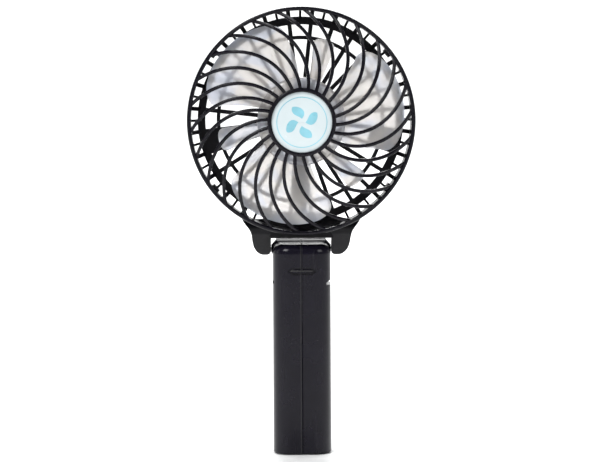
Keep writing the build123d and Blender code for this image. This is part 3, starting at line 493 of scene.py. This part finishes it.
def handle_plastic(name):
    """The handle's gloss black: dull in the parting groove, with a painted highlight line beside the groove and
    another on the slot's tongue.
    """
    shader = moulded(name, (0.0046, 0.0038, 0.0085), 0.19, 0.05, 2600, 0.05, 0.05, IOR=1.3)
    split = shader.node("ShaderNodeSeparateXYZ")
    shader.link(shader.place, split.inputs[0])

    def slope(axis, start, end, low, high):
        return shader.span(split.outputs[axis], low, high, start * MM, end * MM,
                           interpolation_type="SMOOTHSTEP")

    def band(axis, start, full, full_end, end):
        return shader.maths("MULTIPLY", slope(axis, start, full, 0, 1), slope(axis, full_end, end, 1, 0))

    dull = shader.maths("MULTIPLY", band("X", *SEAM_DULL_X), slope("Z", *SEAM_DULL_FADE_Z, 1, SEAM_DULL_TOP))
    tongue = shader.maths("MULTIPLY", band("Z", *TONGUE_HIGHLIGHT_Z), band("X", *TONGUE_HIGHLIGHT_X))
    tongue = shader.maths("MULTIPLY", tongue, slope("Y", *TONGUE_HIGHLIGHT_FADE_Y, TONGUE_HIGHLIGHT_LEVEL, 0))
    # Painted highlight: the groove's edge and the tongue's upper edge are lightened in the base colour.
    painted_highlight = shader.maths("MAXIMUM", band("X", *SEAM_HIGHLIGHT_X), tongue)
    colour = shader.mix(painted_highlight, shader.given("Base Color"), PAINTED_HIGHLIGHT_TONE)
    colour.node.clamp_factor = False
    shader.give("Base Color", colour)
    shader.give("Roughness", shader.mix_number(dull, shader.given("Roughness"), 1.0))
    return shader


# Slot: colour, roughness, its spread, grains to a metre, relief, then what differs from moulded()'s own.
MOULDED = {
    "gloss_black": ((0.0045, 0.004, 0.0072), 0.2, 0.05, 2600, 0.05, {"wear": 0.05, "IOR": 1.29}),
    "matte_black": ((0.0036, 0.0033, 0.0052), 0.36, 0.06, 3600, 0.3, {"wear": 0.05, "IOR": 1.26}),
    "badge_white": ((0.63, 0.71, 0.73), 0.24, 0.04, 1800, 0.03,
                    {"wear": 0.05, "wear_tone": (0.75, 0.8, 0.83), "drift": 0.04}),
    "emblem_blue": ((0.25, 0.56, 0.66), 0.3, 0.05, 1500, 0.05, {"wear": 0.1, "wear_tone": (0.4, 0.65, 0.75)}),
    "magnet": ((0.03, 0.03, 0.032), 0.6, 0.1, 5000, 0.5, {}),
    "motor_plastic": ((0.74, 0.73, 0.68), 0.4, 0.06, 3000, 0.2, {"wear": 0.1, "wear_tone": (0.5, 0.49, 0.45)}),
    "cable_jacket": ((0.014, 0.014, 0.014), 0.55, 0.06, 4500, 0.4, {}),
    "lead_black": ((0.01, 0.01, 0.01), 0.45, 0.06, 4500, 0.3, {}),
    "cell_wrap": ((0.02, 0.12, 0.35), 0.26, 0.06, 900, 0.2, {"wear": 0.1, "wear_tone": (0.1, 0.2, 0.4)}),
    "board_green": ((0.01, 0.12, 0.04), 0.34, 0.06, 2500, 0.2, {"wear": 0.2, "wear_tone": (0.03, 0.22, 0.08)}),
    "chip_black": ((0.016, 0.016, 0.017), 0.5, 0.06, 6000, 0.4, {}),
    "lamp": ((0.8, 0.72, 0.5), 0.3, 0.05, 3000, 0.1, {"wear": 0.1, "wear_tone": (0.6, 0.5, 0.3)}),
    "button_grey": ((0.03, 0.03, 0.033), 0.26, 0.06, 2600, 0.1, {}),
}
# Slot: colour, roughness, then what differs from metal()'s own.
METAL = {
    "steel": ((0.55, 0.55, 0.56), 0.3, {"stretch": (1, 0.1, 1)}),
    "bronze": ((0.55, 0.36, 0.18), 0.42, {}),
    "iron": ((0.3, 0.3, 0.31), 0.4, {"stretch": (0.1, 8, 0.1), "relief": 0.4}),
    "copper": ((0.7, 0.28, 0.13), 0.3, {"stretch": (1, 1, 9), "relief": 0.5}),
    "contact_steel": ((0.68, 0.67, 0.63), 0.22, {}),
}
HANDLE_SHELLS = ("handle_shell_left", "handle_shell_right")


def make_materials():
    """One material for each slot of the record, and one each for the emblem and the handle's shells."""
    shaders = {name: moulded(name, *look, **extra) for name, (*look, extra) in MOULDED.items()}
    shaders |= {name: metal(name, *look, **extra) for name, (*look, extra) in METAL.items()}
    shaders["clear_plastic"] = frosted("clear_plastic")
    shaders["light_guide"] = clear("light_guide", (0.88, 0.9, 0.92))
    shaders["handle_black"] = handle_plastic("handle_black")
    return {name: shader.material for name, shader in shaders.items()}


def give_materials(materials):
    """Put each slot's material on the CAD nodes that carry it, and the handle's own on its shells."""
    for part in frame["record"]["subparts"]:
        name = "handle_black" if part["node"] in HANDLE_SHELLS else part["material_slot"]
        for slot in NODES[part["node"]].material_slots:
            slot.link = "OBJECT"
            slot.material = materials[name]


# ---- stage, in metres ----
FLOOR_RINGS = (1.0, 2.0, 3.0)
FLOOR_CURVE_R = 1.6
FLOOR_CURVE_STEPS = 8
FLOOR_SEGMENTS = 96
FLOOR_DROP = 0.0002
WORLD_COLOUR = (0.95, 0.97, 1.0, 1)
WORLD_STRENGTH = 0.16
FAN_MIDDLE = (0, 0, 0.1)
# Name, place, what it faces, size, watts.
LIGHTS = (
    ("key", (-0.8, -1.0, 1.5), FAN_MIDDLE, (0.8, 0.8), 24),
    ("fill", (1.1, -1.0, 1.1), FAN_MIDDLE, (0.8, 0.8), 9),
    ("left_strip", (-1.3, 0.1, 0.35), FAN_MIDDLE, (0.35, 1.2), 1.5),
    ("back_edge", (0, 0.8, 0.62), FAN_MIDDLE, (0.4, 0.3), 6),
    ("top", (0, 0.7, 2.2), (0, 0.5, 0), (1.5, 0.6), 45),
    ("behind", (0, 1.2, 1.7), (0, 4.4, 0.5), (2.5, 1.0), 110),
)


def make_floor():
    """A wide pale floor that curves up far from the object."""
    bm = bmesh.new()
    profile = [(radius, 0.0) for radius in FLOOR_RINGS]
    for k in range(1, FLOOR_CURVE_STEPS + 1):
        angle = pi / 2 * k / FLOOR_CURVE_STEPS
        profile.append((FLOOR_RINGS[-1] + FLOOR_CURVE_R * sin(angle), FLOOR_CURVE_R * (1 - cos(angle))))
    turns = [tau * k / FLOOR_SEGMENTS for k in range(FLOOR_SEGMENTS)]
    centre = bm.verts.new((0, 0, 0))
    loops = [[bm.verts.new((radius * cos(turn), radius * sin(turn), height)) for turn in turns]
             for radius, height in profile]
    for k in range(FLOOR_SEGMENTS):
        bm.faces.new((centre, loops[0][k], loops[0][(k + 1) % FLOOR_SEGMENTS]))
    for one, two in zip(loops, loops[1:]):
        join_loops(bm, one, two)
    floor = mesh_object("studio_floor", bm, smooth_angle=60)
    floor.location.z = -FLOOR_DROP
    shader = Shader("floor_paper", Roughness=0.9, Specular_IOR_Level=0.1)
    grain = shader.noise(30, 3)
    shader.give("Base Color", shader.ramp(grain, [(0.3, (0.88, 0.88, 0.88)), (0.7, (0.92, 0.92, 0.92))]))
    floor.data.materials.append(shader.material)


def make_lights():
    """Soft panels round the fan and a dim white world."""
    for name, place, target, size, watts in LIGHTS:
        light = bpy.data.lights.new(name, "AREA")
        light.shape = "RECTANGLE"
        light.size, light.size_y = size
        light.energy = watts
        holder = bpy.data.objects.new(name, light)
        holder.location = place
        holder.rotation_euler = (Vector(target) - Vector(place)).to_track_quat("-Z", "Y").to_euler()
        bpy.context.scene.collection.objects.link(holder)
    world = bpy.data.worlds.new("studio")
    bpy.context.scene.world = world
    world.use_nodes = True
    background = world.node_tree.nodes["Background"]
    background.inputs["Color"].default_value = WORLD_COLOUR
    background.inputs["Strength"].default_value = WORLD_STRENGTH


# ---- camera, in metres ----
CAMERA_DISTANCE = 1.112
CAMERA_DOWN = radians(5.3)
CAMERA_TURN = radians(-1.3)
CAMERA_ROLL = radians(-0.3)
CAMERA_ASIDE = -0.0006
CAMERA_DROP = 0.0004
FOCAL_LENGTH_MM = 143.3
SENSOR_WIDTH_MM = 36.0


def make_camera():
    data = bpy.data.cameras.new("camera")
    data.sensor_width = SENSOR_WIDTH_MM
    data.lens = FOCAL_LENGTH_MM
    camera = bpy.data.objects.new("camera", data)
    bpy.context.scene.collection.objects.link(camera)
    target = Vector((CAMERA_ASIDE, 0, (CAD_BOX[0][2] + CAD_BOX[1][2]) / 2 - CAMERA_DROP))
    way = Vector((sin(CAMERA_TURN) * cos(CAMERA_DOWN), -cos(CAMERA_TURN) * cos(CAMERA_DOWN), sin(CAMERA_DOWN)))
    camera.location = target + way * CAMERA_DISTANCE
    facing = (-way).to_track_quat("-Z", "Y").to_matrix()
    camera.rotation_euler = (facing @ Matrix.Rotation(CAMERA_ROLL, 3, "Z")).to_euler()
    bpy.context.scene.camera = camera


make_camera()
make_floor()
make_lights()
MATERIALS = make_materials()
give_materials(MATERIALS)
make_grille(MATERIALS["gloss_black"])
make_emblem(MATERIALS["emblem_blue"])
bpy.context.scene.view_settings.view_transform = "Standard"
